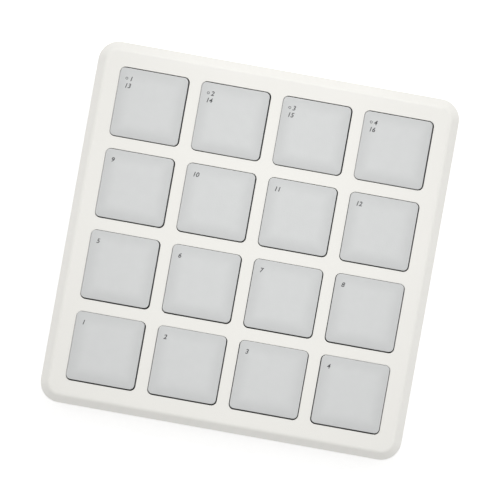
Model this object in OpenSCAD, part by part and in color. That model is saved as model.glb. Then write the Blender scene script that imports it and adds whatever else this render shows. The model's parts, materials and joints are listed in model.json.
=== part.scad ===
// Sixteen-pad controller: grey pads on a silicone mat, in a white two-part case with a bevelled rim.
// Millimetres. The origin lies on the table under the middle of the case, +Z is up and +Y is the rear.

/* [Pads] */
// Width of a pad
pad_w = 28.3; // [24:0.1:34]
// Width of the case's bars between neighbouring openings
bar_w = 5; // [4.2:0.1:10]
// Radius of a pad's corners, seen from above
pad_corner_r = 1.9; // [1.5:0.1:3]
// Rise of a pad's face from the middle of an edge to its centre
pad_crown = 0.4; // [0.2:0.1:0.8]
// Width of the narrow bevel round a pad's face
pad_edge = 0.3; // [0.2:0.1:0.6]
// Height of a pad's edge above the face of the case
pad_proud = 0.4; // [0:0.1:1.5]
// Way that a pad goes down when it is pressed home
pad_travel = 1; // [0.5:0.1:1.2]
// Gap between a pad and its opening
pad_gap = 0.35; // [0.3:0.05:0.6]
// Share of that gap by which the pads, bonded by hand, sit off the middles of their openings
play_share = 0.63; // [0:0.01:0.7]
// Radius of the light well under a pad
well_r = 5; // [3:0.5:6]
// Depth of the light well
well_h = 3.4; // [2:0.1:4]
// Outer radius of the ring under a pad that presses on the sensor film
plunger_r = 9; // [8:0.5:11]
// Thickness of the pressing ring
plunger_t = 2.5; // [1.5:0.5:3]
// Room left between the pressing ring and the film when a pad is down
plunger_gap = 0.1; // [0.05:0.05:0.2]

/* [Mat] */
// Thickness of the mat's sheet
mat_t = 1; // [0.6:0.1:1.5]
// Width of sheet outside the outermost openings
mat_margin = 3; // [2.5:0.1:4]
// Radius of the sheet's corners
mat_corner_r = 4; // [2:0.5:6]
// Height that the skirts rise from the sheet to the pads
skirt_h = 1.6; // [1.3:0.1:2.5]
// Thickness of a skirt
skirt_t = 0.6; // [0.4:0.1:0.8]
// How far a skirt's foot stands outside its pad
skirt_spread = 1.3; // [1:0.1:1.5]
// Width of the flat rim on a skirt, to which the pad is bonded
skirt_rim = 1.2; // [1:0.1:2]
// Radius of a skirt's corners at its rim
skirt_corner_r = 3.2; // [2.6:0.1:4]

/* [Case] */
// Width of the case outside the outermost openings
border_w = 10; // [9.5:0.1:14]
// Height of the case without its feet
case_h = 16.4; // [16:0.2:22]
// Radius of the case's corners, seen from above
case_corner_r = 8.5; // [8:0.5:12]
// Width of the bevel round the top, seen from above
bevel_w = 3.3; // [2:0.1:3.6]
// Height of the bevel
bevel_h = 4.5; // [3:0.1:5]
// Radius between the bevel and the face
bevel_r = 1.8; // [0.5:0.1:2.5]
// Radius round the edge of the base
base_r = 2.5; // [1:0.1:3]
// Thickness of the face
face_t = 2.2; // [1.6:0.1:3]
// Thickness of the side walls
wall_t = 2.2; // [1.8:0.1:2.6]
// Thickness of the base
base_t = 2; // [1.6:0.1:3]
// Thickness of the ribs under the face, which hold the mat down
rib_t = 2; // [1.2:0.1:2.4]
// Thickness of the ribs on the base
base_rib_t = 1.2; // [0.8:0.1:2]
// Height of the ribs on the base
base_rib_h = 1.6; // [0.8:0.1:2]
// Radius of the pillars that hold up the board
pillar_r = 2.5; // [1.5:0.1:4]
// Height of the base's lip, which reaches inside the top
lip_h = 1.5; // [1:0.1:2]
// Thickness of the lip
lip_t = 1; // [0.8:0.1:1.2]
// Gap round the lip
lip_gap = 0.15; // [0.1:0.05:0.25]
// Size of the small bevels along the seam
seam_edge = 0.3; // [0.1:0.1:0.5]

/* [Board] */
// Thickness of the pressure film on the board
film_t = 0.4; // [0.2:0.1:0.6]
// Radius of the film's holes round the lights
film_hole_r = 4.5; // [3:0.5:5]
// Thickness of the board
board_t = 1.6; // [1:0.1:2]
// Room under the board for its parts and its socket
board_room = 4.4; // [3.8:0.1:6]
// Width of board and film outside the outermost openings
board_margin = 0.4; // [0:0.1:1]
// Radius of the board's corners
board_corner_r = 3; // [1:0.5:5]
// Width of the board's tongue for the socket
tab_w = 18; // [14:1:24]
// Gap between that tongue and the rear wall
tab_gap = 0.9; // [0.5:0.1:1.5]
// Gap between the board's parts and the bosses that pass them
boss_gap = 0.4; // [0.3:0.1:0.6]
// Length of a light
light_l = 3.5; // [2:0.1:5]
// Width of a light
light_w = 2.8; // [2.7:0.1:5]
// Height of a light
light_h = 1.6; // [0.8:0.1:1.8]
// Radius of the cup in a light
light_cup_r = 1.2; // [0.6:0.1:1.3]
// Width of the square controller chip
controller_w = 7; // [5:0.5:10]
// Length of the multiplexer chip
multiplexer_l = 15.4; // [15:0.2:18]
// Width of the multiplexer chip
multiplexer_w = 7.5; // [5:0.5:9]
// Length of the voltage regulator
regulator_l = 6.5; // [6:0.1:8]
// Width of the voltage regulator
regulator_w = 3.5; // [3:0.1:5]
// Distance between the regulator's leads and the back of the socket
regulator_gap = 13.8; // [4:0.1:16]
// Thickness of the chips' bodies
chip_t = 1.4; // [1:0.1:2]
// Length that a chip's leads stand out
lead_l = 1.1; // [0.8:0.1:1.4]
// Thickness of the leads
lead_t = 0.2; // [0.1:0.05:0.3]
// Length of the crystal's can
crystal_l = 5; // [3:0.1:6]
// Width of the crystal's can
crystal_w = 3.2; // [2:0.1:4]
// Height of the crystal's can
crystal_h = 1.2; // [0.8:0.1:2]
// Distance between the crystal and the controller's leads
crystal_gap = 2.3; // [1:0.1:3]
// Length of a capacitor or resistor
chip_part_l = 2; // [1.6:0.1:3.2]
// Width of a capacitor or resistor
chip_part_w = 1.25; // [0.8:0.05:1.6]
// Height of a capacitor
capacitor_h = 1.2; // [0.6:0.1:1.6]
// Height of a resistor
resistor_h = 0.6; // [0.4:0.1:0.8]
// Gap between neighbouring capacitors
capacitor_gap = 1.2; // [0.6:0.1:2]
// Gap between neighbouring resistors
resistor_gap = 0.6; // [0.4:0.1:1]

/* [Socket] */
// Width of the socket's shell
socket_w = 8.94; // [8.9:0.01:9.2]
// Height of the socket's shell
socket_h = 3.26; // [3.2:0.01:3.4]
// Length of the socket's shell
socket_l = 7.35; // [6.5:0.05:9]
// Thickness of the shell's sheet metal
socket_t = 0.3; // [0.2:0.05:0.4]
// Distance of the socket's mouth from the face of the rear wall
socket_inset = 0.5; // [0.2:0.1:1]
// Gap round the socket in the wall
socket_gap = 0.25; // [0.15:0.05:0.4]
// Height of wall left above the board's underside
socket_rim = 1.1; // [0.9:0.1:1.4]
// Width of the tongue in the socket
tongue_w = 6.7; // [6:0.1:7]
// Thickness of the tongue
tongue_t = 0.7; // [0.5:0.05:0.8]
// Length of the plastic block behind the tongue
block_l = 2.4; // [2:0.1:3]
// Distance of the tongue's end from the socket's mouth
tongue_inset = 0.6; // [0.4:0.1:1]
// Width of the shell's solder legs
leg_w = 1; // [0.6:0.1:1.2]
// Distance of the rear legs from the back of the shell
leg_inset = 1.5; // [0.8:0.1:2]
// Distance between front and rear legs
leg_spacing = 2; // [1.5:0.1:2.2]
// Gap round the legs in the board
leg_gap = 0.1; // [0.05:0.05:0.2]

/* [Screws] */
// Radius of the case screws
case_screw_r = 1.45; // [1.2:0.05:1.6]
// Length of the case screws under the head
case_screw_l = 9; // [7:0.5:9.5]
// Radius of the case screws' heads
case_head_r = 2.7; // [2.4:0.1:2.9]
// Height of the case screws' heads
case_head_h = 1.9; // [1.4:0.1:2.2]
// Height of post between the case screws' heads and the seam
case_grip = 4.5; // [3.5:0.1:4.8]
// Distance of the case screws from the outside of the case
case_screw_inset = 6.2; // [5.9:0.1:6.5]
// Radius of the bosses that the case screws go into
case_boss_r = 3; // [2.6:0.1:3.2]
// Wall of the posts round the case screws' heads
post_wall = 1; // [0.8:0.1:1.2]
// Radius of the board screws
board_screw_r = 1.2; // [1:0.05:1.4]
// Length of the board screws under the head
board_screw_l = 6; // [5:0.5:7]
// Radius of the board screws' heads
board_head_r = 2.2; // [1.8:0.1:2.6]
// Height of the board screws' heads
board_head_h = 1.5; // [1:0.1:1.8]
// Radius of the bosses that the board screws go into
board_boss_r = 2.4; // [2:0.1:2.6]
// Room round the screws and their heads
screw_gap = 0.1; // [0.05:0.05:0.2]
// Room past the screws' ends
screw_end_gap = 0.4; // [0.2:0.1:1]
// Width of the slots of the cross in a screw's head
cross_w = 0.8; // [0.5:0.1:1]
// Depth of the cross in a screw's head
cross_h = 1; // [0.6:0.1:1.2]

/* [Feet] */
// Radius of a foot
foot_r = 6; // [4:0.5:8]
// Height of a foot below the case
foot_h = 1.6; // [1:0.1:3]
// Depth of a foot's seat in the base
foot_seat_h = 0.6; // [0.3:0.1:0.8]
// Bevel round a foot's lower edge
foot_edge = 0.5; // [0.2:0.1:0.8]
// Distance of a foot's middle from the outside of the case
foot_inset = 13; // [12:0.5:16]
// Gap round a foot in its seat
foot_gap = 0.15; // [0.1:0.05:0.3]

/* [Hidden] */
$fn = 72;
// Straight steps in the round of a moulded edge
edge_steps = 6;
// Overshoot of cuts past the faces that they go through
cut = 1;
// Share of a screw head's width at its flat end, and that of the cross in it
head_flat = 0.75;
cross_span = 0.55;
// Share of a lead's room along the chip that its metal takes
lead_share = 0.45;

// Leads along one side of each chip
controller_leads = 12;
multiplexer_leads = 12;
regulator_leads = 3;

// Capacitors on each side of the controller, and resistors on each side of the multiplexer
capacitor_row = 4;
resistor_row = 8;

// Share of the play by which the pad at the front right sits to the right instead
turn_share = 2 / 7;

// Pads in a row, and rows
row_count = 4;
pad_count = row_count * row_count;

// Plan: the pads' spacing, and half widths from the middle of the object
opening_half = pad_w / 2 + pad_gap;
pad_pitch = 2 * opening_half + bar_w;
grid_half = (row_count - 1) * pad_pitch / 2;
field_half = grid_half + opening_half;
case_half = field_half + border_w;
inner_half = case_half - wall_t;
inner_r = case_corner_r - wall_t;
board_half = field_half + board_margin;
case_screw_at = case_half - case_screw_inset;
post_r = case_head_r + screw_gap + post_wall;

// Levels, from the table up
base_z = foot_h;
base_top_z = base_z + base_t;
board_z = base_top_z + board_room;
board_top_z = board_z + board_t;
film_top_z = board_top_z + film_t;
mat_top_z = film_top_z + mat_t;
plunger_z = film_top_z + plunger_gap + pad_travel;
pad_z = mat_top_z + skirt_h;
face_z = base_z + case_h;
ceiling_z = face_z - face_t;
pad_edge_z = face_z + pad_proud;
pad_top_z = pad_edge_z + pad_crown;
seam_z = board_z + socket_rim;
socket_z = board_z - socket_h / 2;
case_head_z = seam_z - case_grip;

// Radius of the crown of a pad's face
crown_r = (pow(pad_w / 2, 2) + pow(pad_crown, 2)) / (2 * pad_crown);

// Bevel: its angle from level, and how far the wall's inner face stands back along the level and the plumb
bevel_angle = atan2(bevel_h, bevel_w);
bevel_tangent = bevel_r * tan(bevel_angle / 2);
bevel_back = wall_t / sin(bevel_angle);
bevel_inner_w = bevel_w - face_t / tan(bevel_angle) + bevel_back - wall_t;
bevel_inner_h = bevel_inner_w * tan(bevel_angle);

// Socket: where its mouth is and where it ends inside
socket_mouth_y = case_half - socket_inset;
socket_back_y = socket_mouth_y - socket_l;

case_white = "#f0efea";
pad_grey = "#ccced0";
mat_grey = "#8e9396";
film_black = "#2b2b2d";
board_green = "#1f5a3c";
chip_black = "#1b1b1d";
metal = "#b9bbbe";
rubber_grey = "#5b5c5e";

function pad_name(number) = str("pad_", number < 10 ? "0" : "", number);

// Pads count from 1 at the front left, along each row and then back
function pad_column(number) = (number - 1) % row_count;
function pad_row(number) = floor((number - 1) / row_count);
function pad_middle(number) =
    [pad_column(number), pad_row(number)] * pad_pitch - [grid_half, grid_half];
// How far a pad sits off the middle: to the left, but at the front right to the right, and to the rear, but
// not in the rear row
function pad_shift(number) =
    let (right = pad_column(number) / (row_count - 1), back = pad_row(number) / (row_count - 1))
        play_share * pad_gap * [(1 + turn_share) * right * (1 - back) - 1, 1 - pow(back, 2)];

function arc_points(centre, radius, from, to) =
    [for (step = [0:edge_steps])
        centre + radius * [cos(from + (to - from) * step / edge_steps),
                           sin(from + (to - from) * step / edge_steps)]];

module at_pads() {
    for (number = [1:pad_count])
        translate(pad_middle(number))
            children();
}

// The places between four pads, where the board is screwed to the top
module at_board_screws() {
    for (column = [1:row_count - 1], row = [1:row_count - 1])
        translate([column, row] * pad_pitch - [1, 1] * (grid_half + pad_pitch / 2))
            children();
}

// Two places on each side of the case, where top and base are screwed together
module at_case_screws() {
    for (turn = [0:90:270], side = [-1, 1])
        rotate(turn)
            translate([side * pad_pitch, case_screw_at])
                children();
}

module rounded_square(half, corner_r) {
    reach = half - corner_r;
    square([2 * half, 2 * reach], center = true);
    square([2 * reach, 2 * half], center = true);
    for (x = [-reach, reach], y = [-reach, reach])
        translate([x, y])
            circle(corner_r);
}

module plate(half, corner_r, low, high) {
    translate([0, 0, low])
        linear_extrude(high - low)
            rounded_square(half, corner_r);
}

// Runs a profile round a rounded square: its x counts outwards from the corner's middle, its y upwards
module swept_rim(half, corner_r) {
    reach = half - corner_r;
    for (turn = [0:90:270])
        rotate(turn)
            translate([reach, reach, 0]) {
                rotate_extrude(angle = 90)
                    children();
                rotate([90, 0, 0])
                    linear_extrude(2 * reach)
                        children();
            }
}

// A slab whose edge has the given profile all round
module swept_slab(half, corner_r, low, high) {
    reach = half - corner_r;
    translate([-reach, -reach, low])
        cube([2 * reach, 2 * reach, high - low]);
    swept_rim(half, corner_r)
        children();
}

module stadium(width, height) {
    square([width - height, height], center = true);
    for (side = [-1, 1])
        translate([side * (width - height) / 2, 0])
            circle(height / 2);
}

// The socket's outline, drawn in or out by a margin, between two distances from the middle of the object
module socket_bar(margin, from, to) {
    translate([0, to, socket_z])
        rotate([90, 0, 0])
            linear_extrude(to - from)
                stadium(socket_w + 2 * margin, socket_h + 2 * margin);
}

// A pan-head screw, its head down and its shank from level 0 up
module screw(shank_r, shank_l, head_r, head_h) {
    difference() {
        union() {
            cylinder(r = shank_r, h = shank_l);
            translate([0, 0, -head_h / 2])
                cylinder(r = head_r, h = head_h / 2);
            translate([0, 0, -head_h])
                cylinder(r1 = head_r * head_flat, r2 = head_r, h = head_h / 2);
        }
        for (turn = [0, 90])
            rotate(turn)
                translate([0, 0, -head_h])
                    cube([2 * head_r * cross_span, cross_w, 2 * cross_h], center = true);
    }
}

// A row of gull-wing leads along a chip's side, standing out along +Y on a board at level 0
module lead_row(length, count) {
    spacing = length / count;
    width = spacing * lead_share;
    for (step = [0:count - 1])
        translate([(step - (count - 1) / 2) * spacing - width / 2, 0, 0])
            rotate([90, 0, 90])
                linear_extrude(width)
                    polygon([
                        [-lead_t, chip_t / 2 - lead_t], [lead_l / 3, chip_t / 2 - lead_t],
                        [lead_l / 2, 0], [lead_l, 0], [lead_l, lead_t],
                        [lead_l / 2 + lead_t, lead_t], [lead_l / 3 + lead_t, chip_t / 2],
                        [-lead_t, chip_t / 2]
                    ]);
}

// A chip's moulded body, clear of the board by the thickness of its leads
module chip_body(length, width) {
    translate([-length / 2, -width / 2, lead_t])
        cube([length, width, chip_t - lead_t]);
}

// A small soldered part with its two metal ends
module chip_part(height) {
    end_l = chip_part_l / 5;
    translate([-chip_part_l / 2, -chip_part_w / 2, 0])
        for (x = [0, chip_part_l - end_l])
            translate([x, 0, 0])
                cube([end_l, chip_part_w, height]);
    translate([-chip_part_l / 2 + end_l, -chip_part_w / 2, lead_t / 2])
        cube([chip_part_l - 2 * end_l, chip_part_w, height - lead_t]);
}

// Hangs what is drawn on a board at level 0 under the main board instead
module under_board(x, y, turn = 0) {
    translate([x, y, board_z])
        mirror([0, 0, 1])
            rotate(turn)
                children();
}

module top_shell() {
    difference() {
        swept_slab(case_half, case_corner_r, seam_z, face_z)
            polygon(concat(
                [[0, seam_z], [case_corner_r - seam_edge, seam_z], [case_corner_r, seam_z + seam_edge],
                 [case_corner_r, face_z - bevel_h]],
                arc_points([case_corner_r - bevel_w - bevel_tangent, face_z - bevel_r], bevel_r,
                           90 - bevel_angle, 90),
                [[0, face_z]]));
        swept_slab(inner_half, inner_r, seam_z - cut, ceiling_z)
            polygon([[0, seam_z - cut], [inner_r, seam_z - cut], [inner_r, ceiling_z - bevel_inner_h],
                     [inner_r - bevel_inner_w, ceiling_z], [0, ceiling_z]]);
        plate(inner_half + lip_t + lip_gap, inner_r + lip_t + lip_gap, seam_z - cut,
              seam_z + lip_h + lip_gap);
        at_pads()
            plate(opening_half, pad_corner_r + pad_gap, ceiling_z - cut, face_z + cut);
    }
}

module top_case() {
    rib_reach = row_count * pad_pitch / 2 + rib_t / 2;
    color(case_white)
        difference() {
            union() {
                top_shell();
                for (turn = [0, 90], line = [0:row_count])
                    rotate(turn)
                        translate([line * pad_pitch - rib_reach, -rib_reach, mat_top_z])
                            cube([rib_t, 2 * rib_reach, ceiling_z - mat_top_z]);
                at_board_screws()
                    translate([0, 0, board_top_z])
                        cylinder(r = board_boss_r, h = ceiling_z - board_top_z);
                at_case_screws()
                    translate([0, 0, seam_z])
                        cylinder(r = case_boss_r, h = ceiling_z - seam_z);
            }
            at_board_screws()
                translate([0, 0, board_top_z - cut])
                    cylinder(r = board_screw_r + screw_gap,
                             h = cut + board_screw_l - board_t + screw_end_gap);
            at_case_screws()
                translate([0, 0, seam_z - cut])
                    cylinder(r = case_screw_r + screw_gap,
                             h = cut + case_head_z + case_screw_l - seam_z + screw_end_gap);
        }
}

module bottom_shell() {
    difference() {
        swept_slab(case_half, case_corner_r, base_z, seam_z)
            polygon(concat(
                [[0, base_z]],
                arc_points([case_corner_r - base_r, base_z + base_r], base_r, -90, 0),
                [[case_corner_r, seam_z - seam_edge], [case_corner_r - seam_edge, seam_z], [0, seam_z]]));
        plate(inner_half, inner_r, base_top_z, seam_z + cut);
    }
    difference() {
        plate(inner_half + lip_t, inner_r + lip_t, seam_z - cut, seam_z + lip_h);
        plate(inner_half, inner_r, seam_z - 2 * cut, seam_z + lip_h + cut);
    }
}

module bottom_case() {
    color(case_white)
        difference() {
            union() {
                bottom_shell();
                for (turn = [0, 90], line = [0:row_count - 1])
                    rotate(turn)
                        translate([line * pad_pitch - grid_half - base_rib_t / 2, -inner_half, base_top_z])
                            cube([base_rib_t, 2 * inner_half, base_rib_h]);
                at_pads()
                    translate([0, 0, base_top_z])
                        cylinder(r = pillar_r, h = board_z - base_top_z);
                at_case_screws()
                    translate([0, 0, base_top_z])
                        cylinder(r = post_r, h = seam_z - base_top_z);
            }
            at_case_screws() {
                translate([0, 0, base_z - cut])
                    cylinder(r = case_head_r + screw_gap, h = cut + case_head_z - base_z);
                translate([0, 0, base_z])
                    cylinder(r = case_screw_r + screw_gap, h = seam_z + cut - base_z);
            }
            at_feet()
                translate([0, 0, base_z - cut])
                    cylinder(r = foot_r + foot_gap, h = cut + foot_seat_h);
            socket_bar(socket_gap, inner_half - cut, case_half + cut);
        }
}

// A pad: a crowned block with a light well and the ring that presses on the film
module pad(number) {
    color(pad_grey)
        translate(pad_middle(number) + pad_shift(number)) {
            difference() {
                intersection() {
                    swept_slab(pad_w / 2, pad_corner_r, pad_z, pad_top_z)
                        polygon([[0, pad_z], [pad_corner_r, pad_z], [pad_corner_r, pad_edge_z - pad_edge],
                                 [pad_corner_r - pad_edge - pad_crown, pad_top_z], [0, pad_top_z]]);
                    rotate_extrude()
                        intersection() {
                            translate([0, pad_top_z - crown_r])
                                circle(crown_r, $fn = 20 * $fn);
                            translate([0, pad_z - cut])
                                square([pad_w, pad_top_z - pad_z + 2 * cut]);
                        }
                }
                translate([0, 0, pad_z - cut])
                    cylinder(r = well_r, h = cut + well_h);
            }
            translate([0, 0, plunger_z])
                linear_extrude(pad_z - plunger_z)
                    difference() {
                        circle(plunger_r);
                        circle(plunger_r - plunger_t);
                    }
        }
}

// The silicone mat: a sheet with a springy skirt round each opening, on which a pad is bonded
module pad_mat() {
    skirt_half = pad_w / 2;
    foot_reach = skirt_corner_r + skirt_spread;
    color(mat_grey) {
        difference() {
            plate(field_half + mat_margin, mat_corner_r, film_top_z, mat_top_z);
            at_pads()
                plate(skirt_half + skirt_spread - skirt_t, foot_reach - skirt_t, film_top_z - cut,
                      mat_top_z + cut);
            at_board_screws()
                translate([0, 0, film_top_z - cut])
                    cylinder(r = board_boss_r + boss_gap, h = mat_t + 2 * cut);
            at_case_screws()
                translate([0, 0, film_top_z - cut])
                    cylinder(r = case_boss_r + boss_gap, h = mat_t + 2 * cut);
        }
        at_pads()
            swept_rim(skirt_half, skirt_corner_r)
                polygon([
                    [foot_reach - skirt_t, film_top_z], [foot_reach, film_top_z], [foot_reach, mat_top_z],
                    [skirt_corner_r, pad_z], [skirt_corner_r - skirt_rim, pad_z],
                    [skirt_corner_r - skirt_rim, pad_z - skirt_t],
                    [skirt_corner_r - skirt_t, pad_z - skirt_t],
                    [foot_reach - skirt_t, mat_top_z - skirt_t / 2]
                ]);
    }
}

module sensor_film() {
    color(film_black)
        translate([0, 0, board_top_z])
            linear_extrude(film_t)
                difference() {
                    rounded_square(board_half, board_corner_r);
                    at_pads()
                        circle(film_hole_r);
                    at_board_screws()
                        circle(board_boss_r + boss_gap);
                    at_case_screws()
                        circle(case_boss_r + boss_gap);
                }
}

module main_board() {
    color(board_green)
        translate([0, 0, board_z])
            linear_extrude(board_t)
                difference() {
                    union() {
                        rounded_square(board_half, board_corner_r);
                        translate([-tab_w / 2, 0])
                            square([tab_w, inner_half - tab_gap]);
                    }
                    at_board_screws()
                        circle(board_screw_r + screw_gap);
                    at_case_screws()
                        circle(post_r + boss_gap);
                    at_socket_legs()
                        square([socket_t + 2 * leg_gap, leg_w + 2 * leg_gap], center = true);
                }
}

module pad_lights() {
    color("white")
        at_pads()
            translate([0, 0, board_top_z + light_h / 2])
                difference() {
                    cube([light_l, light_w, light_h], center = true);
                    translate([0, 0, light_h / 4])
                        cylinder(r1 = light_cup_r / 2, r2 = light_cup_r, h = light_h / 2);
                }
}

module controller_chip() {
    color(chip_black)
        under_board(0, pad_pitch / 2) {
            chip_body(controller_w, controller_w);
            for (turn = [0:90:270])
                rotate(turn)
                    translate([0, controller_w / 2, 0])
                        lead_row(controller_w, controller_leads);
        }
}

module multiplexer_chip() {
    color(chip_black)
        under_board(0, -pad_pitch / 2) {
            chip_body(multiplexer_l, multiplexer_w);
            for (turn = [0, 180])
                rotate(turn)
                    translate([0, multiplexer_w / 2, 0])
                        lead_row(multiplexer_l, multiplexer_leads);
        }
}

module voltage_regulator() {
    color(chip_black)
        under_board(0, socket_back_y - regulator_gap - lead_l - regulator_w / 2) {
            chip_body(regulator_l, regulator_w);
            translate([0, regulator_w / 2, 0])
                lead_row(regulator_l, 1);
            rotate(180)
                translate([0, regulator_w / 2, 0])
                    lead_row(regulator_l, regulator_leads);
        }
}

module crystal() {
    flange = crystal_w / 12;
    color(metal)
        under_board(0, (pad_pitch + controller_w + crystal_w) / 2 + lead_l + crystal_gap) {
            translate([-crystal_l / 2, -crystal_w / 2, 0])
                cube([crystal_l, crystal_w, crystal_h / 3]);
            translate([-crystal_l / 2 + flange, -crystal_w / 2 + flange, crystal_h / 3])
                cube([crystal_l - 2 * flange, crystal_w - 2 * flange, crystal_h * 2 / 3]);
        }
}

module capacitors() {
    color("tan")
        for (side = [-1, 1], step = [0:capacitor_row - 1])
            under_board(side * (controller_w / 2 + lead_l + chip_part_l),
                        pad_pitch / 2 + (step - (capacitor_row - 1) / 2) * (chip_part_w + capacitor_gap))
                chip_part(capacitor_h);
}

module resistors() {
    color(chip_black)
        for (side = [-1, 1], step = [0:resistor_row - 1])
            under_board((step - (resistor_row - 1) / 2) * (chip_part_w + resistor_gap),
                        side * (multiplexer_w / 2 + lead_l + chip_part_l) - pad_pitch / 2, 90)
                chip_part(resistor_h);
}

// The socket's four legs, beside its shell and through the board
module at_socket_legs() {
    for (side = [-1, 1], along = [leg_inset, leg_inset + leg_spacing])
        translate([side * (socket_w - socket_h) / 2, socket_back_y + along])
            children();
}

module usb_socket() {
    color(metal) {
        difference() {
            socket_bar(0, socket_back_y, socket_mouth_y);
            socket_bar(-socket_t, socket_back_y - cut, socket_mouth_y + cut);
        }
        translate([0, 0, board_z - socket_t])
            linear_extrude(socket_t + board_t)
                at_socket_legs()
                    square([socket_t, leg_w], center = true);
    }
}

module usb_tongue() {
    color(chip_black) {
        socket_bar(-socket_t, socket_back_y, socket_back_y + block_l);
        translate([-tongue_w / 2, socket_back_y, socket_z - tongue_t / 2])
            cube([tongue_w, socket_l - tongue_inset, tongue_t]);
    }
}

module board_screws() {
    color(metal)
        at_board_screws()
            translate([0, 0, board_z])
                screw(board_screw_r, board_screw_l, board_head_r, board_head_h);
}

module case_screws() {
    color(metal)
        at_case_screws()
            translate([0, 0, case_head_z])
                screw(case_screw_r, case_screw_l, case_head_r, case_head_h);
}

module at_feet() {
    for (x = [-1, 1], y = [-1, 1])
        translate([x, y] * (case_half - foot_inset))
            children();
}

module foot(x, y) {
    color(rubber_grey)
        translate([x, y] * (case_half - foot_inset))
            rotate_extrude()
                polygon([[0, 0], [foot_r - foot_edge, 0], [foot_r, foot_edge],
                         [foot_r, foot_h + foot_seat_h], [0, foot_h + foot_seat_h]]);
}

top_case();
bottom_case();
for (number = [1:pad_count])
    pad(number);
pad_mat();
sensor_film();
main_board();
pad_lights();
controller_chip();
multiplexer_chip();
voltage_regulator();
crystal();
capacitors();
resistors();
usb_socket();
usb_tongue();
board_screws();
case_screws();
foot(-1, -1);  // foot_front_left
foot(1, -1);  // foot_front_right
foot(-1, 1);  // foot_rear_left
foot(1, 1);  // foot_rear_right
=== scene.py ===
import json
from math import cos, pi, radians, sin

import bmesh
import bpy
from mathutils import Matrix, Vector

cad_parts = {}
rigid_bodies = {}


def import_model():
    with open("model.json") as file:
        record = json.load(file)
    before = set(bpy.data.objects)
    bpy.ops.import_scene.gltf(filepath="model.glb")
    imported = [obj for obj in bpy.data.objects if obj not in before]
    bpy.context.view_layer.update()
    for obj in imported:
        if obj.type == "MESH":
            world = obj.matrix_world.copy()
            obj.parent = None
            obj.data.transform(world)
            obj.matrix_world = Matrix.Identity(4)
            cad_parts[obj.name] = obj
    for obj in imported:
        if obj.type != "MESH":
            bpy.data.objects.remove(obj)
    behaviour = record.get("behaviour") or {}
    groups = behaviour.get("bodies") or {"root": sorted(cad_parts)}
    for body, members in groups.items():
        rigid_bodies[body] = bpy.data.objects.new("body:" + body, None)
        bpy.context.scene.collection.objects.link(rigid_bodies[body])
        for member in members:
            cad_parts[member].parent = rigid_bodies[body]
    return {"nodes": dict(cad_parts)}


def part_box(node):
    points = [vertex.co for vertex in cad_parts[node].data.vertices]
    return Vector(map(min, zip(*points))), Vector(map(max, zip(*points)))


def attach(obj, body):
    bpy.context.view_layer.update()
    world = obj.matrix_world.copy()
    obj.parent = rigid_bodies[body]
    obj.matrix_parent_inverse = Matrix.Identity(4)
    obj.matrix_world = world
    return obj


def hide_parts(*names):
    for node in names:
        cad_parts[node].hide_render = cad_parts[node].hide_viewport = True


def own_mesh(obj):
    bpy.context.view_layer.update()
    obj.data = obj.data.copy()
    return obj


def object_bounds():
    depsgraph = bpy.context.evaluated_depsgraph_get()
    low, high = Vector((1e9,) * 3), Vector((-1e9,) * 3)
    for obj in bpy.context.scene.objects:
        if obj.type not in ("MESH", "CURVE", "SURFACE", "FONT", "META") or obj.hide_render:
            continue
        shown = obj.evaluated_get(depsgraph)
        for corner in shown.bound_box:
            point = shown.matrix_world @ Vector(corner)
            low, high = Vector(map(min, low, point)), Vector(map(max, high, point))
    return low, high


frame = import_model()
cad_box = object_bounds()
scene = bpy.context.scene
scene.view_settings.view_transform = "Standard"

# Camera
# It looks straight down on the pads and is turned a little, so that the case leans to the left in the
# picture. A long lens from high above keeps the view flat, without visible perspective.
mm = 0.001
lean = radians(10.17)
view_w = 205.4 * mm
camera_height = 1.5
aim_right = 0.03 * mm
aim_up = 0.27 * mm


def placed(name, data):
    """Adds an object with this data to the scene."""
    thing = bpy.data.objects.new(name, data)
    scene.collection.objects.link(thing)
    return thing


camera = placed("camera", bpy.data.cameras.new("camera"))
camera.data.lens = camera.data.sensor_width * camera_height / view_w
camera.rotation_euler.z = lean
camera.location = Matrix.Rotation(lean, 3, "Z") @ Vector((aim_right, aim_up, cad_box[1].z + camera_height))
scene.camera = camera

# Top of the case
# The upper shell: one moulding in white ABS with a fine matt texture, a sloped rim and sixteen openings. Its
# edges have the small radius that the mould leaves, and its ribs and bosses carry what lies under the face.
face_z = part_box("top_case")[1].z
rim_slope_h = 4.5 * mm
mould_r = 0.08 * mm
mould_steps = 3
sharp_angle = radians(30)
flat_angle = radians(0.1)
weld = 0.001 * mm
level_room = 0.01 * mm
shade_ends = (0.3, 0.7)
patch_detail = 5
grain_detail = 2
rough_swing = 0.08
grain_strength = 0.5


def put(tree, kind, feeds=None, **settings):
    """Adds a node with its settings, and sets or links its inputs by name or number."""
    node = tree.nodes.new(kind)
    for key, value in settings.items():
        setattr(node, key, value)
    for key, value in (feeds or {}).items():
        if isinstance(value, bpy.types.NodeSocket):
            tree.links.new(value, node.inputs[key])
        else:
            node.inputs[key].default_value = value
    return node


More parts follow.
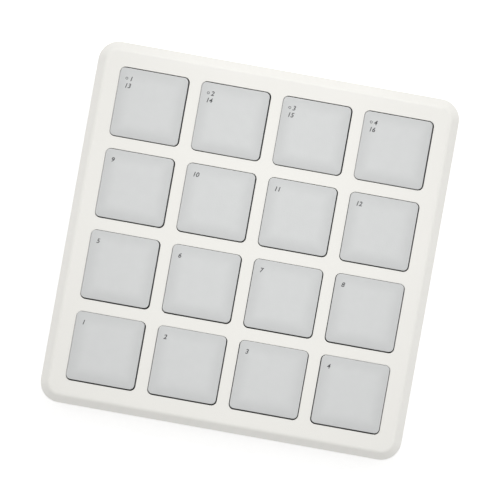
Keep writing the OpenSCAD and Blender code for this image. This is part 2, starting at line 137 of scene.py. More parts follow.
def surface(name, light, dark, patch, rough, grain, depth, metal=0.0):
    """A finish that drifts between two shades in patches, with a fine grain of a given size and depth."""
    finish = bpy.data.materials.new(name)
    finish.use_nodes = True
    tree = finish.node_tree
    shader = tree.nodes["Principled BSDF"]
    shader.inputs["Metallic"].default_value = metal
    place = put(tree, "ShaderNodeTexCoord").outputs["Object"]
    drift = put(tree, "ShaderNodeTexNoise", {"Vector": place, "Scale": 1 / patch, "Detail": patch_detail})
    shades = put(tree, "ShaderNodeValToRGB", {"Fac": drift.outputs["Fac"]})
    for stop, position, shade in zip(shades.color_ramp.elements, shade_ends, (dark, light)):
        stop.position = position
        stop.color = (*shade, 1)
    tree.links.new(shades.outputs["Color"], shader.inputs["Base Color"])
    grains = put(tree, "ShaderNodeTexNoise", {"Vector": place, "Scale": 1 / grain, "Detail": grain_detail})
    shine = put(tree, "ShaderNodeMapRange", {"Value": grains.outputs["Fac"], "To Min": rough - rough_swing,
                                             "To Max": rough + rough_swing})
    tree.links.new(shine.outputs["Result"], shader.inputs["Roughness"])
    bump = put(tree, "ShaderNodeBump", {"Height": grains.outputs["Fac"], "Strength": grain_strength,
                                        "Distance": depth})
    tree.links.new(bump.outputs["Normal"], shader.inputs["Normal"])
    return finish


def tint(finish, share, colour, blend="MIX"):
    """Mixes another colour into a finish, by a share from 0 to 1."""
    tree = finish.node_tree
    shade = tree.nodes["Principled BSDF"].inputs["Base Color"]
    mixed = put(tree, "ShaderNodeMix", {0: share, 6: shade.links[0].from_socket, 7: colour},
                data_type="RGBA", blend_type=blend)
    tree.links.new(mixed.outputs[2], shade)


def plain_mesh(seed):
    """An object's mesh with its modifiers applied. The object is removed."""
    depsgraph = bpy.context.evaluated_depsgraph_get()
    mesh = bpy.data.meshes.new_from_object(seed.evaluated_get(depsgraph),
                                           preserve_all_data_layers=True, depsgraph=depsgraph)
    name, old = seed.name, seed.data
    bpy.data.objects.remove(seed)
    bpy.data.batch_remove([old])
    mesh.name = name
    return mesh


def merged(node):
    """A CAD node's loose triangles as one closed shape, with its flat faces whole again."""
    shape = bmesh.new()
    shape.from_mesh(frame["nodes"][node].data)
    bmesh.ops.remove_doubles(shape, verts=shape.verts, dist=weld)
    bmesh.ops.dissolve_limit(shape, angle_limit=flat_angle, verts=shape.verts, edges=shape.edges)
    return shape


def finished(shape, name, finish):
    """The mesh of a shape, smooth between its sharp edges and true on its flat faces."""
    for face in shape.faces:
        face.smooth = True
    for edge in shape.edges:
        edge.smooth = edge.calc_face_angle(pi) < sharp_angle
    mesh = bpy.data.meshes.new(name)
    shape.to_mesh(mesh)
    shape.free()
    mesh.materials.append(finish)
    seed = placed(name, mesh)
    seed.modifiers.new("flat faces", "WEIGHTED_NORMAL").keep_sharp = True
    return plain_mesh(seed)


def moulded(node, name, levels, finish):
    """A node's solid with the convex edges at some levels rounded."""
    shape = merged(node)
    edges = [edge for edge in shape.edges
             if edge.calc_face_angle_signed(0) > sharp_angle
             and any(all(abs(end.co.z - level) < level_room for end in edge.verts) for level in levels)]
    bmesh.ops.bevel(shape, geom=edges, offset=mould_r, offset_type="OFFSET", segments=mould_steps,
                    profile=0.5, affect="EDGES", clamp_overlap=True)
    return finished(shape, name, finish)


def fixed(mesh, body, replaced=()):
    """Adds a finished piece that moves with a body."""
    piece = placed(mesh.name, mesh)
    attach(piece, body)
    if replaced:
        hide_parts(*replaced)
    return piece


case_finish = surface("matt white case", (0.886, 0.875, 0.835), (0.872, 0.861, 0.82), patch=30 * mm,
                      rough=0.5, grain=0.4 * mm, depth=0.15 * mm)
case_top = moulded("top_case", "case_top", [face_z, face_z - rim_slope_h], case_finish)
fixed(case_top, "case", ["top_case"])

# Pads
# Sixteen separate caps of frosted grey silicone, cast with a level top that falls to a soft edge, a ring that
# presses on the film and a well for the light. Each is bonded to the rim of its own skirt on the mat.
pad_count = 16
pad_corner_r = 1.9 * mm
pad_edge_r = 0.25 * mm
pad_fall = 0.4 * mm
pad_fall_w = 6.5 * mm
pad_rim_edge = 0.15 * mm
# Painted shade: how dark a pad's colour is painted at its edge, as a share of the colour at its middle.
pad_edge_painted_shade = 0.905
plunger_r = 9 * mm
plunger_t = 2.5 * mm
well_r = 5 * mm
well_h = 3.4 * mm
top_steps = 20
edge_steps = 6
pad_rim_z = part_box("pad_mat")[1].z
pad_low, pad_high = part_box("pad_01")
pad_half = (pad_high.x - pad_low.x) / 2
pad_middles = [(sum(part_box(f"pad_{number:02d}"), Vector()) / 2).xy for number in range(1, pad_count + 1)]


def pad_level(reach):
    """Height of a pad's top at a distance from its middle."""
    return pad_high.z - pad_fall * max(0, 1 - (pad_half - reach) / pad_fall_w) ** 2


def tree_of(name, **inputs):
    """A new tree with named inputs; returns it and their sockets by name."""
    tree = bpy.data.node_groups.new(name, "GeometryNodeTree")
    for label, kind in inputs.items():
        tree.interface.new_socket(label.replace("_", " "), in_out="INPUT", socket_type=f"NodeSocket{kind}")
    tree.interface.new_socket("Geometry", in_out="OUTPUT", socket_type="NodeSocketGeometry")
    return tree, put(tree, "NodeGroupInput").outputs


def end_tree(tree, geometry, material):
    """Ends a tree in plain geometry with its material."""
    real = put(tree, "GeometryNodeRealizeInstances", {"Geometry": geometry})
    dressed = put(tree, "GeometryNodeSetMaterial", {"Geometry": real.outputs[0], "Material": material})
    put(tree, "NodeGroupOutput", {"Geometry": dressed.outputs[0]})


def grown(tree, name, **sizes):
    """The plain mesh that a tree makes with these sizes."""
    seed = placed(name, bpy.data.meshes.new(name))
    modifier = seed.modifiers.new(name, "NODES")
    modifier.node_group = tree
    for socket in tree.interface.items_tree:
        label = socket.name.replace(" ", "_")
        if socket.in_out == "INPUT" and label in sizes:
            modifier[socket.identifier] = sizes[label]
    return plain_mesh(seed)


def points(name, rows):
    """An object with one point for each row, for a tree to read."""
    mesh = bpy.data.meshes.new(name)
    mesh.from_pydata(rows, [], [])
    return placed(name, mesh)


def maths(tree, operation, *values):
    """The result of a sum on numbers."""
    return put(tree, "ShaderNodeMath", dict(enumerate(values)), operation=operation).outputs[0]


def vectors(tree, operation, *values):
    """The result of a sum on vectors."""
    return put(tree, "ShaderNodeVectorMath", dict(enumerate(values)), operation=operation).outputs[0]


def scaled(tree, vector, scale):
    """A vector times a number."""
    return put(tree, "ShaderNodeVectorMath", {0: vector, "Scale": scale}, operation="SCALE").outputs[0]


def ringed_solid():
    """A tree that wraps a square grid round a solid, ring by ring from the middle of its top to that of its
    underside. Each ring takes its reach, its roundness (0 is the rounded square, 1 a circle) and its height
    from a profile."""
    least_share = 1e-6
    tree, sizes = tree_of("ringed solid", Profile="Object", Rings="Int", Across="Int", Half_Width="Float",
                          Corner_Radius="Float", Middle="Vector", Material="Material")
    grid = put(tree, "GeometryNodeMeshGrid", {"Size X": 2.0, "Size Y": 2.0, "Vertices X": sizes["Across"],
                                              "Vertices Y": sizes["Across"]})
    place = put(tree, "GeometryNodeInputPosition").outputs[0]
    apart = put(tree, "ShaderNodeSeparateXYZ", {0: vectors(tree, "ABSOLUTE", place)}).outputs
    share = maths(tree, "MAXIMUM", apart["X"], apart["Y"])
    ring = maths(tree, "ROUND", maths(tree, "MULTIPLY", share, sizes["Rings"]))
    profile = put(tree, "GeometryNodeObjectInfo", {"Object": sizes["Profile"]}).outputs["Geometry"]
    row = put(tree, "GeometryNodeSampleIndex", {"Geometry": profile, "Value": place, "Index": ring},
              data_type="FLOAT_VECTOR")
    reach, roundness, height = put(tree, "ShaderNodeSeparateXYZ", {0: row.outputs[0]}).outputs

    on_square = scaled(tree, place, maths(tree, "DIVIDE", 1.0, maths(tree, "MAXIMUM", share, least_share)))
    bunched = vectors(tree, "SINE", scaled(tree, on_square, pi / 2))
    square = scaled(tree, bunched, reach)
    corner = maths(tree, "MULTIPLY", sizes["Corner Radius"],
                   maths(tree, "DIVIDE", reach, sizes["Half Width"]))
    straight = maths(tree, "SUBTRACT", reach, corner)
    limit = put(tree, "ShaderNodeCombineXYZ", {"X": straight, "Y": straight}).outputs[0]
    core = vectors(tree, "MINIMUM", vectors(tree, "MAXIMUM", square, scaled(tree, limit, -1.0)), limit)
    past = vectors(tree, "NORMALIZE", vectors(tree, "SUBTRACT", square, core))
    rounded = vectors(tree, "ADD", core, scaled(tree, past, corner))
    circle = scaled(tree, vectors(tree, "NORMALIZE", bunched), reach)
    flat = put(tree, "ShaderNodeMix", {0: roundness, 4: rounded, 5: circle}, data_type="VECTOR").outputs[1]

    lift = put(tree, "ShaderNodeCombineXYZ", {"Z": height}).outputs[0]
    target = vectors(tree, "ADD", vectors(tree, "ADD", flat, lift), sizes["Middle"])
    inset = maths(tree, "SUBTRACT", sizes["Half Width"], reach)
    marked = put(tree, "GeometryNodeStoreNamedAttribute",
                 {"Geometry": grid.outputs[0], "Name": "inset", "Value": inset})
    bent = put(tree, "GeometryNodeSetPosition", {"Geometry": marked.outputs[0], "Position": target})
    closed = put(tree, "GeometryNodeMergeByDistance", {"Geometry": bent.outputs[0], "Distance": weld})
    smooth = put(tree, "GeometryNodeSetShadeSmooth", {"Geometry": closed.outputs[0]})
    angle = put(tree, "GeometryNodeInputMeshEdgeAngle").outputs["Unsigned Angle"]
    sharp = put(tree, "FunctionNodeCompare", {"A": angle, "B": sharp_angle}, operation="GREATER_THAN")
    creased = put(tree, "GeometryNodeSetShadeSmooth",
                  {"Geometry": smooth.outputs[0], "Selection": sharp.outputs[0], "Shade Smooth": False},
                  domain="EDGE")
    end_tree(tree, creased.outputs[0], sizes["Material"])
    return tree


solid_tree = ringed_solid()


def ringed(name, rows, half_w, corner_r, middle, finish):
    """A solid with the given profile rows, round or with rounded corners."""
    profile = points(f"{name}_profile", rows)
    mesh = grown(solid_tree, name, Profile=profile, Rings=len(rows) - 1, Across=2 * len(rows) - 1,
                 Half_Width=half_w, Corner_Radius=corner_r, Middle=(*middle, 0), Material=finish)
    bpy.data.objects.remove(profile)
    return mesh


def quarter(steps):
    """Angles of the steps round a quarter circle, after its start."""
    return [pi / 2 * (step + 1) / steps for step in range(steps)]


pad_finish = surface("frosted grey silicone", (0.679, 0.689, 0.686), (0.665, 0.675, 0.672), patch=4 * mm,
                     rough=0.6, grain=0.3 * mm, depth=0.1 * mm)
# Painted shade: the pads' base colour darkens smoothly towards their edges, over pad_fall_w from the rim,
# standing in for the light that the dark gaps round them take.
pad_inset = put(pad_finish.node_tree, "ShaderNodeAttribute", attribute_name="inset").outputs["Fac"]
pad_painted_edge_shade = put(pad_finish.node_tree, "ShaderNodeMapRange",
               {"Value": pad_inset, "From Max": pad_fall_w, "To Min": pad_edge_painted_shade},
               interpolation_type="SMOOTHSTEP")
tint(pad_finish, 1.0, pad_painted_edge_shade.outputs["Result"], "MULTIPLY")

pad_edge = pad_half - pad_edge_r
pad_well_z = pad_rim_z + well_h
pad_reaches = [pad_edge * step / top_steps for step in range(top_steps + 1)]
pad_rows = [(reach, 0, pad_level(reach)) for reach in pad_reaches]
pad_rows += [(pad_edge + pad_edge_r * sin(turn), 0, pad_level(pad_edge) - pad_edge_r * (1 - cos(turn)))
             for turn in quarter(edge_steps)]
pad_rows += [
    (pad_half, 0, pad_rim_z + pad_rim_edge), (pad_half - pad_rim_edge, 0, pad_rim_z),
    (plunger_r, 1, pad_rim_z), (plunger_r, 1, pad_low.z),
    (plunger_r - plunger_t, 1, pad_low.z), (plunger_r - plunger_t, 1, pad_rim_z),
    (well_r, 1, pad_rim_z), (well_r, 1, pad_well_z), (0, 1, pad_well_z),
]
for number, middle in enumerate(pad_middles, 1):
    node = f"pad_{number:02d}"
    cap = ringed(f"{node}_cap", pad_rows, pad_half, pad_corner_r, middle, pad_finish)
    fixed(cap, f"{node}_key", [node])

# Numbers on the pads
# A slanting number printed in dark grey ink near the rear left corner of each pad. The rear row has a second
# line, and its first line starts with a small ring. The film of ink follows the top of the pad.
figure_h = 1.85 * mm
figure_share = 0.69
figure_slant = 0.2
figure_bold = 0.045 * mm
figure_steps = 4
ink_t = 0.02 * mm
print_left = -11.6 * mm
print_base = 8.9 * mm
line_step = 2.95 * mm
ring_r = 0.55 * mm
ring_stroke = 0.2 * mm
ring_room = 3 * ring_r
ring_steps = 32
row_count = 4
ink = surface("dark grey ink", (0.075, 0.075, 0.08), (0.045, 0.045, 0.05), patch=0.5 * mm, rough=0.55,
              grain=0.1 * mm, depth=0.004 * mm)


def figures(text, left, base):
    """Slanting figures as a thin flat solid."""
    line = bpy.data.curves.new("figures", "FONT")
    line.body = text
    line.size = figure_h / figure_share
    line.shear = figure_slant
    line.extrude = ink_t
    line.offset = figure_bold
    line.resolution_u = figure_steps
    mesh = plain_mesh(placed("figures", line))
    mesh.transform(Matrix.Translation((left, base, 0)))
    return mesh


def ring_mark(shape, left, base):
    """Adds a small flat ring, as the sign in front of the figures."""
    middle = Vector((left + ring_r, base + figure_h / 2, 0))
    loops = []
    for reach, level in ((ring_r, -ink_t), (ring_r, ink_t), (ring_r - ring_stroke, ink_t),
                         (ring_r - ring_stroke, -ink_t)):
        loops.append([shape.verts.new(middle + Vector((reach * cos(turn), reach * sin(turn), level)))
                      for turn in (2 * pi * step / ring_steps for step in range(ring_steps))])
    for near, far in zip(loops, loops[1:] + loops[:1]):
        for step in range(ring_steps):
            after = (step + 1) % ring_steps
            shape.faces.new((near[step], near[after], far[after], far[step]))


def printed(number):
    """All that is printed on one pad, laid on its top."""
    shape = bmesh.new()
    preset = number - pad_count + row_count
    if preset > 0:
        ring_mark(shape, print_left, print_base)
        shape.from_mesh(figures(str(preset), print_left + ring_room, print_base))
        shape.from_mesh(figures(str(number), print_left, print_base - line_step))
    else:
        shape.from_mesh(figures(str(number), print_left, print_base))
    bmesh.ops.remove_doubles(shape, verts=shape.verts, dist=weld)
    bmesh.ops.recalc_face_normals(shape, faces=shape.faces)
    for corner in shape.verts:
        corner.co.z += pad_level(max(abs(corner.co.x), abs(corner.co.y)))
        corner.co.xy += pad_middles[number - 1]
    return finished(shape, f"pad_{number:02d}_print", ink)


for number in range(1, pad_count + 1):
    fixed(printed(number), f"pad_{number:02d}_key")

# Mat under the pads
# One moulding in grey silicone: a sheet that the ribs of the top hold down, with a springy skirt for each
# pad. The sheet and each skirt are separate pieces here, and all of them stay with the case.
pad_pitch = 34 * mm
skirt_h = 1.55 * mm
skirt_spread = 3 * mm
skirt_foot_z = pad_rim_z - skirt_h
mat_finish = surface("grey mat silicone", (0.3, 0.31, 0.32), (0.26, 0.27, 0.28), patch=3 * mm, rough=0.65,
                     grain=0.2 * mm, depth=0.01 * mm)


def mat_part(above):
    """The mat above or below the feet of its skirts, closed where it is cut."""
    shape = merged("pad_mat")
    cut = bmesh.ops.bisect_plane(shape, geom=[*shape.verts, *shape.edges, *shape.faces],
                                 plane_co=(0, 0, skirt_foot_z), plane_no=(0, 0, 1), clear_outer=not above,
                                 clear_inner=above)
    edges = [item for item in cut["geom_cut"] if isinstance(item, bmesh.types.BMEdge)]
    bmesh.ops.triangle_fill(shape, edges=edges, use_beauty=True)
    bmesh.ops.recalc_face_normals(shape, faces=shape.faces)
    return shape


fixed(finished(mat_part(above=False), "mat_sheet", mat_finish), "case", ["pad_mat"])
for number in range(1, pad_count + 1):
    row, column = divmod(number - 1, row_count)
    middle = Vector((column, row)) * pad_pitch - Vector((1, 1)) * pad_pitch * (row_count - 1) / 2
    skirt = mat_part(above=True)
    away = [corner for corner in skirt.verts
            if max(abs(corner.co.x - middle.x), abs(corner.co.y - middle.y)) > pad_half + skirt_spread]
    bmesh.ops.delete(skirt, geom=away, context="VERTS")
    piece = fixed(finished(skirt, f"mat_skirt_{number:02d}", mat_finish), "case")
    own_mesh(piece)

# Pressure film
# A thin sheet of plastic with printed carbon, which lies on the board and feels how hard a pad is pressed.
# It has a hole round each light and is held down by the mat.
film_finish = surface("carbon film", (0.035, 0.035, 0.037), (0.022, 0.022, 0.024), patch=1.5 * mm, rough=0.4,
                      grain=0.15 * mm, depth=0.004 * mm)


def dress(finish, *nodes):
    """Gives CAD nodes a finish."""
    for node in nodes:
        for slot in frame["nodes"][node].material_slots:
            slot.material = finish


dress(film_finish, "sensor_film")

# Circuit board
# Fibreglass under a green solder mask, which lets the copper tracks show through as lighter lines. It is
# screwed to the bosses of the top and rests on the pillars of the base.
track_field = 8 * mm
track_half_w = 0.12 * mm
track_l = 21.6 * mm
track_pitch = 0.88 * mm
track_softness = 0.3
track_share = 0.4
track_green = (0.04, 0.22, 0.1, 1)
board_finish = surface("green solder mask", (0.022, 0.14, 0.07), (0.012, 0.1, 0.048), patch=2 * mm, rough=0.3,
                       grain=0.3 * mm, depth=0.01 * mm)
board_tree = board_finish.node_tree
board_place = put(board_tree, "ShaderNodeTexCoord").outputs["Object"]
tracks = put(board_tree, "ShaderNodeTexBrick",
             {"Vector": board_place, "Scale": 1 / track_field, "Mortar Size": track_half_w / track_field,
              "Mortar Smooth": track_softness, "Brick Width": track_l / track_field,
              "Row Height": track_pitch / track_field})
tint(board_finish, maths(board_tree, "MULTIPLY", tracks.outputs["Fac"], track_share), track_green)
dress(board_finish, "main_board")

# Lights under the pads
# One white light-emitting part in the middle of each pad: a moulded housing with a cup of yellow phosphor,
# soldered to the upper side of the board.
cup_r = 1.2 * mm
phosphor = (0.8, 0.56, 0.1, 1)
light_finish = surface("white light housing", (0.82, 0.81, 0.74), (0.76, 0.74, 0.66), patch=1 * mm,
                       rough=0.35, grain=0.2 * mm, depth=0.004 * mm)
light_tree = light_finish.node_tree
light_place = put(light_tree, "ShaderNodeTexCoord").outputs["Object"]
half_pitch = Vector((1, 1, 1)) * pad_pitch / 2
light_shift = vectors(light_tree, "SUBTRACT", light_place, half_pitch)
light_spot = vectors(light_tree, "WRAP", light_shift, half_pitch, -half_pitch)
light_flat = vectors(light_tree, "MULTIPLY", light_spot, (1, 1, 0))
light_reach = put(light_tree, "ShaderNodeVectorMath", {0: light_flat}, operation="LENGTH").outputs["Value"]
tint(light_finish, maths(light_tree, "LESS_THAN", light_reach, cup_r), phosphor)
dress(light_finish, "pad_lights")

# Chips
# The controller, the multiplexer that reads the pads and the voltage regulator: black epoxy bodies with
# tinned leads, soldered to the underside of the board.
lead_l = 1.1 * mm
lead_sides = {"controller_chip": (1, 1, 0), "multiplexer_chip": (0, 1, 0), "voltage_regulator": (0, 1, 0)}
tin = (0.66, 0.66, 0.67, 1)


def tinned_outside(finish, middle, side, half):
    """Makes a finish tin outside boxes of a given half size, at a place on each side of a middle."""
    tree = finish.node_tree
    place = put(tree, "ShaderNodeTexCoord").outputs["Object"]
    mirrored = vectors(tree, "ABSOLUTE", vectors(tree, "SUBTRACT", place, middle))
    away = vectors(tree, "ABSOLUTE", vectors(tree, "SUBTRACT", mirrored, side))
    axes = put(tree, "ShaderNodeSeparateXYZ", {0: vectors(tree, "SUBTRACT", away, half)}).outputs
    outside = maths(tree, "GREATER_THAN", maths(tree, "MAXIMUM", axes["X"], axes["Y"]), 0.0)
    tint(finish, outside, tin)
    tree.links.new(outside, tree.nodes["Principled BSDF"].inputs["Metallic"])


for node, sides in lead_sides.items():
    chip_finish = surface(f"{node} epoxy", (0.024, 0.024, 0.026), (0.016, 0.016, 0.018), patch=0.8 * mm,
                          rough=0.5, grain=0.08 * mm, depth=0.005 * mm)
    chip_low, chip_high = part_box(node)
    chip_half = (chip_high - chip_low) / 2 - lead_l * Vector(sides)
    tinned_outside(chip_finish, (chip_low + chip_high) / 2, (0, 0, 0), chip_half)
    dress(chip_finish, node)

# Crystal
# The crystal that gives the controller its clock, in a drawn can of bright nickel silver that is welded to
# its flange and soldered to the underside of the board.
can_finish = surface("bright can", (0.66, 0.66, 0.67), (0.58, 0.58, 0.59), patch=2 * mm, rough=0.28,
                     grain=0.1 * mm, depth=0.003 * mm, metal=1.0)
dress(can_finish, "crystal")

# Capacitors and resistors
# Small blocks with tinned ends, soldered to the underside of the board: tan ceramic capacitors beside the
# controller and black resistors beside the multiplexer.
small_part_l = 2 * mm
tin_end_l = 0.4 * mm
body_half_l = small_part_l / 2 - tin_end_l
no_limit = 1.0
for node, axis, light, dark in (("capacitors", Vector((1, 0, 0)), (0.5, 0.37, 0.23), (0.42, 0.3, 0.18)),
                                ("resistors", Vector((0, 1, 0)), (0.03, 0.03, 0.032), (0.02, 0.02, 0.022))):
    block_finish = surface(f"{node} body", light, dark, patch=0.5 * mm, rough=0.5, grain=0.08 * mm,
                           depth=0.004 * mm)
    block_low, block_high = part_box(node)
    block_side = axis * (axis.dot(block_high - block_low) - small_part_l) / 2
    block_half = [body_half_l if along else no_limit for along in axis]
    tinned_outside(block_finish, (block_low + block_high) / 2, block_side, block_half)
    dress(block_finish, node)

# Data socket
# A folded shell of tinned steel with a black plastic tongue, soldered to the rear of the board. The tongue
# carries a row of gold contacts on each side.
contact_count = 12
contact_pitch = 0.5 * mm
contact_w = 0.25 * mm
contact_l = 4.2 * mm
contact_t = 0.06 * mm
contact_back = 0.3 * mm
tongue_t = 0.7 * mm
shell_finish = surface("tinned steel", (0.62, 0.62, 0.63), (0.52, 0.52, 0.53), patch=1.5 * mm, rough=0.3,
                       grain=0.12 * mm, depth=0.003 * mm, metal=1.0)
tongue_finish = surface("black socket plastic", (0.03, 0.03, 0.032), (0.02, 0.02, 0.022), patch=0.8 * mm,
                        rough=0.45, grain=0.1 * mm, depth=0.004 * mm)
gold_finish = surface("gold contacts", (0.86, 0.62, 0.26), (0.78, 0.55, 0.22), patch=0.6 * mm, rough=0.25,
                      grain=0.06 * mm, depth=0.001 * mm, metal=1.0)
dress(shell_finish, "usb_socket")
dress(tongue_finish, "usb_tongue")


def contact_rows():
    """A tree that sets out two rows of contacts, on the lower and the upper face of the tongue."""
    tree, sizes = tree_of("contact rows", Count="Int", Start="Vector", Step="Vector", Size="Vector",
                          Rise="Vector", Material="Material")
    strip = put(tree, "GeometryNodeMeshCube", {"Size": sizes["Size"]})
    row = put(tree, "GeometryNodeMeshLine", {"Count": sizes["Count"], "Start Location": sizes["Start"],
                                             "Offset": sizes["Step"]})
    lower = put(tree, "GeometryNodeInstanceOnPoints",
                {"Points": row.outputs[0], "Instance": strip.outputs[0]})
    upper = put(tree, "GeometryNodeTransform", {"Geometry": lower.outputs[0], "Translation": sizes["Rise"]})
    both = put(tree, "GeometryNodeJoinGeometry", {0: lower.outputs[0]})
    tree.links.new(upper.outputs[0], both.inputs[0])
    end_tree(tree, both.outputs[0], sizes["Material"])
    return tree


tongue_low, tongue_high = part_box("usb_tongue")
tongue_z = (tongue_low.z + tongue_high.z) / 2
contact_start = Vector((-(contact_count - 1) * contact_pitch / 2,
                        tongue_high.y - contact_back - contact_l / 2, tongue_z - tongue_t / 2))
contacts = grown(contact_rows(), "socket_contacts", Count=contact_count, Start=contact_start,
                 Step=(contact_pitch, 0, 0), Size=(contact_w, contact_l, contact_t), Rise=(0, 0, tongue_t),
                 Material=gold_finish)
fixed(contacts, "case")

# Base of the case
# The lower tray, moulded in the same white ABS as the top. Its lip reaches inside the top, its posts take
# the screws, and its pillars and ribs hold up the board.
case_base = moulded("bottom_case", "case_base", [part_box("bottom_case")[0].z], case_finish)
fixed(case_base, "case", ["bottom_case"])

# Screws
# Cross-head screws of zinc-plated steel with a rolled thread. Nine hold board, film and mat to the top from
# inside, and eight come up through the posts of the base into the bosses of the top.
case_head_r = 2.7 * mm
thread_pitch = 0.9 * mm
thread_h = 0.22 * mm
thread_steps = 24
ridge_sides = 4
screw_tip = 0.5 * mm
screw_tip_share = 0.55
tip_steps = 4
head_steps = 5
head_flat = 0.7
head_side_share = 0.4
cross_w = 0.8 * mm
cross_h = 1 * mm
cross_span = 0.55
steel = surface("zinc-plated steel", (0.5, 0.5, 0.52), (0.4, 0.4, 0.42), patch=1.2 * mm, rough=0.32,
                grain=0.1 * mm, depth=0.003 * mm, metal=1.0)


def screw_set():
    """A tree that cuts a cross into a screw's head, winds a thread round its shank and sets out copies."""
    tree, sizes = tree_of("screw set", Blank="Object", Places="Object", Cross="Vector", Head_Face="Vector",
                          Thread_Radius="Float", Thread_Height="Float", Thread_Foot="Vector",
                          Thread_Length="Float", Turns="Float", Material="Material")
    blank = put(tree, "GeometryNodeObjectInfo", {"Object": sizes["Blank"]}).outputs["Geometry"]
    bar = put(tree, "GeometryNodeMeshCube", {"Size": sizes["Cross"]}).outputs[0]
    slots = [put(tree, "GeometryNodeTransform",
                 {"Geometry": bar, "Translation": sizes["Head Face"], "Rotation": (0, 0, turn)}).outputs[0]
             for turn in (0, pi / 2)]
    cut = put(tree, "GeometryNodeMeshBoolean", {"Mesh 1": blank, "Mesh 2": slots[0]},
              operation="DIFFERENCE", solver="MANIFOLD")
    tree.links.new(slots[1], cut.inputs["Mesh 2"])
    welded = put(tree, "GeometryNodeMergeByDistance", {"Geometry": cut.outputs[0], "Distance": weld})
    spiral = put(tree, "GeometryNodeCurveSpiral",
                 {"Resolution": thread_steps, "Rotations": sizes["Turns"],
                  "Start Radius": sizes["Thread Radius"], "End Radius": sizes["Thread Radius"],
                  "Height": sizes["Thread Length"]})
    ridge = put(tree, "GeometryNodeCurvePrimitiveCircle",
                {"Resolution": ridge_sides, 4: sizes["Thread Height"]})
    thread = put(tree, "GeometryNodeCurveToMesh",
                 {"Curve": spiral.outputs[0], "Profile Curve": ridge.outputs[0], "Fill Caps": True})
    wound = put(tree, "GeometryNodeTransform",
                {"Geometry": thread.outputs[0], "Translation": sizes["Thread Foot"]})
    screw = put(tree, "GeometryNodeJoinGeometry", {0: welded.outputs[0]})
    tree.links.new(wound.outputs[0], screw.inputs[0])
    places = put(tree, "GeometryNodeObjectInfo", {"Object": sizes["Places"]}).outputs["Geometry"]
    copies = put(tree, "GeometryNodeInstanceOnPoints", {"Points": places, "Instance": screw.outputs[0]})
    end_tree(tree, copies.outputs[0], sizes["Material"])
    return tree


screw_tree = screw_set()


def screws(node, name, places, shank_r, shank_l, head_r, head_h):
    """A set of screws with their heads down, in place of a CAD node."""
    head_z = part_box(node)[0].z
    seat_z = head_z + head_h
    tip_z = seat_z + shank_l
    core_r = shank_r - thread_h
    side_h = head_h * head_side_share
    rows = [(core_r * screw_tip_share * step / tip_steps, 1, tip_z) for step in range(tip_steps + 1)]
    rows += [(core_r, 1, tip_z - screw_tip), (core_r, 1, seat_z), (head_r, 1, seat_z),
             (head_r, 1, seat_z - side_h)]
    rows += [(head_r * (head_flat + (1 - head_flat) * cos(turn)), 1,
              seat_z - side_h - (head_h - side_h) * sin(turn)) for turn in quarter(head_steps)]
    rows += [(0, 1, head_z)]
    blank = placed(f"{name}_blank", ringed(f"{name}_blank", rows, head_r, head_r, (0, 0), steel))
    spots = points(f"{name}_places", places)
    thread_l = shank_l - screw_tip
    mesh = grown(screw_tree, name, Blank=blank, Places=spots,
                 Cross=(2 * head_r * cross_span, cross_w, 2 * cross_h), Head_Face=(0, 0, head_z),
                 Thread_Radius=core_r, Thread_Height=thread_h, Thread_Foot=(0, 0, seat_z),
                 Thread_Length=thread_l, Turns=thread_l / thread_pitch, Material=steel)
    for seed in (blank, spots):
        bpy.data.objects.remove(seed)
    fixed(mesh, "case", [node])


case_screw_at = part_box("case_screws")[1].y - case_head_r
case_places = [(*(Matrix.Rotation(turn * pi / 2, 2) @ Vector((side * pad_pitch, case_screw_at))), 0)
               for turn in range(4) for side in (-1, 1)]
board_places = [(column * pad_pitch, row * pad_pitch, 0) for row in (-1, 0, 1) for column in (-1, 0, 1)]
screws("case_screws", "case_screw_set", case_places, shank_r=1.45 * mm, shank_l=9 * mm,
       head_r=case_head_r, head_h=1.9 * mm)
screws("board_screws", "board_screw_set", board_places, shank_r=1.2 * mm, shank_l=6 * mm,
       head_r=2.2 * mm, head_h=1.5 * mm)

# Feet
# Four discs of black rubber with a rounded lower edge and a shallow dish, stuck into seats in the base.
# The dish keeps the edge of a foot flat on the table.
foot_names = ["foot_front_left", "foot_front_right", "foot_rear_left", "foot_rear_right"]
foot_edge = 0.5 * mm
foot_steps = 10
dish_r = 4 * mm
dish_edge = 0.3 * mm
dish_h = 0.15 * mm
rubber = surface("black rubber", (0.05, 0.05, 0.052), (0.035, 0.035, 0.037), patch=2 * mm, rough=0.75,
                 grain=0.25 * mm, depth=0.015 * mm)


def set_out():
    """A tree that puts a copy of a piece at each of some places."""
    tree, sizes = tree_of("set out", Piece="Object", Places="Object", Material="Material")
    piece = put(tree, "GeometryNodeObjectInfo", {"Object": sizes["Piece"]}).outputs["Geometry"]
    places = put(tree, "GeometryNodeObjectInfo", {"Object": sizes["Places"]}).outputs["Geometry"]
    copies = put(tree, "GeometryNodeInstanceOnPoints", {"Points": places, "Instance": piece})
    end_tree(tree, copies.outputs[0], sizes["Material"])
    return tree


foot_low, foot_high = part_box(foot_names[0])
foot_r = (foot_high.x - foot_low.x) / 2
foot_rows = [(foot_r * step / foot_steps, 1, foot_high.z) for step in range(foot_steps + 1)]
foot_rows += [(foot_r - foot_edge * (1 - cos(turn)), 1, foot_edge * (1 - sin(turn)))
              for turn in (0, *quarter(edge_steps))]
foot_rows += [(dish_r + dish_edge, 1, 0), (dish_r, 1, dish_h), (0, 1, dish_h)]
foot = placed("foot", ringed("foot", foot_rows, foot_r, foot_r, (0, 0), rubber))
foot_places = points("foot_places", [(*(sum(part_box(name), Vector()) / 2).xy, 0) for name in foot_names])
feet = grown(set_out(), "feet", Piece=foot, Places=foot_places, Material=rubber)
for seed in (foot, foot_places):
    bpy.data.objects.remove(seed)
fixed(feet, "case", foot_names)

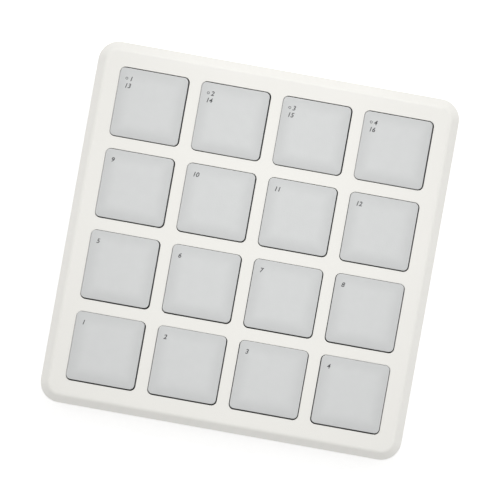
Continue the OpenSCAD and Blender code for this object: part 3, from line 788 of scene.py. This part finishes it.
# Floor and light
# A plain floor that the camera sees as white paper, soft light from all round, stronger from the sides and
# the rear, and a gridded softbox behind the case, which lights its middle a little more than its rim.
floor_half = 3.0
floor_white = (0.9, 0.9, 0.9, 1)
floor_rough = 0.9
floor_lift = 0.42
white = (1, 1, 1, 1)
fill = 0.58
fill_swing = 0.05
side_fill = 0.25
softbox_w = 0.25
softbox_away = 0.85
softbox_elevation = radians(57)
softbox_spread = radians(30)
softbox_aim = Vector((7, 3, 0)) * mm
softbox_power = 0.105


def seen_directly(tree):
    """1 for rays from the camera, a reflection or a clear material, else 0."""
    path = put(tree, "ShaderNodeLightPath").outputs
    either = maths(tree, "MAXIMUM", path["Is Camera Ray"], path["Is Glossy Ray"])
    return maths(tree, "MAXIMUM", either, path["Is Transmission Ray"])


paper = bpy.data.materials.new("white floor")
paper.use_nodes = True
paper_shader = paper.node_tree.nodes["Principled BSDF"]
paper_shader.inputs["Base Color"].default_value = floor_white
paper_shader.inputs["Roughness"].default_value = floor_rough
paper_shader.inputs["Specular IOR Level"].default_value = 0
paper_shader.inputs["Emission Color"].default_value = white
paper.node_tree.links.new(maths(paper.node_tree, "MULTIPLY", seen_directly(paper.node_tree), floor_lift),
                          paper_shader.inputs["Emission Strength"])
floor_corners = [(x * floor_half, y * floor_half, 0) for x, y in ((-1, -1), (1, -1), (1, 1), (-1, 1))]
floor_mesh = bpy.data.meshes.new("floor")
floor_mesh.from_pydata(floor_corners, [], [(0, 1, 2, 3)])
floor_mesh.materials.append(paper)
placed("floor", floor_mesh)

world = bpy.data.worlds.new("studio")
world.use_nodes = True
scene.world = world
sky = world.node_tree
sky_way = put(sky, "ShaderNodeSeparateXYZ", {0: put(sky, "ShaderNodeTexCoord").outputs["Generated"]}).outputs
sky_rear = put(sky, "ShaderNodeMapRange",
               {"Value": sky_way["Y"], "From Min": -1.0, "To Min": fill - fill_swing,
                "To Max": fill + fill_swing}).outputs["Result"]
sky_sides = maths(sky, "MULTIPLY", maths(sky, "ABSOLUTE", sky_way["X"]), side_fill)
sky_fill = maths(sky, "ADD", sky_rear, sky_sides)
sky_level = put(sky, "ShaderNodeMapRange", {"Value": seen_directly(sky), "To Min": sky_fill, "To Max": 1.0})
sky.nodes["Background"].inputs["Color"].default_value = white
sky.links.new(sky_level.outputs["Result"], sky.nodes["Background"].inputs["Strength"])

softbox = placed("softbox", bpy.data.lights.new("softbox", "AREA"))
softbox.data.size = softbox_w
softbox.data.spread = softbox_spread
softbox.data.energy = softbox_power
softbox_way = Vector((0, cos(softbox_elevation), sin(softbox_elevation)))
softbox.location = softbox_aim + softbox_away * softbox_way
softbox.rotation_euler = (-softbox_way).to_track_quat("-Z", "Y").to_euler()
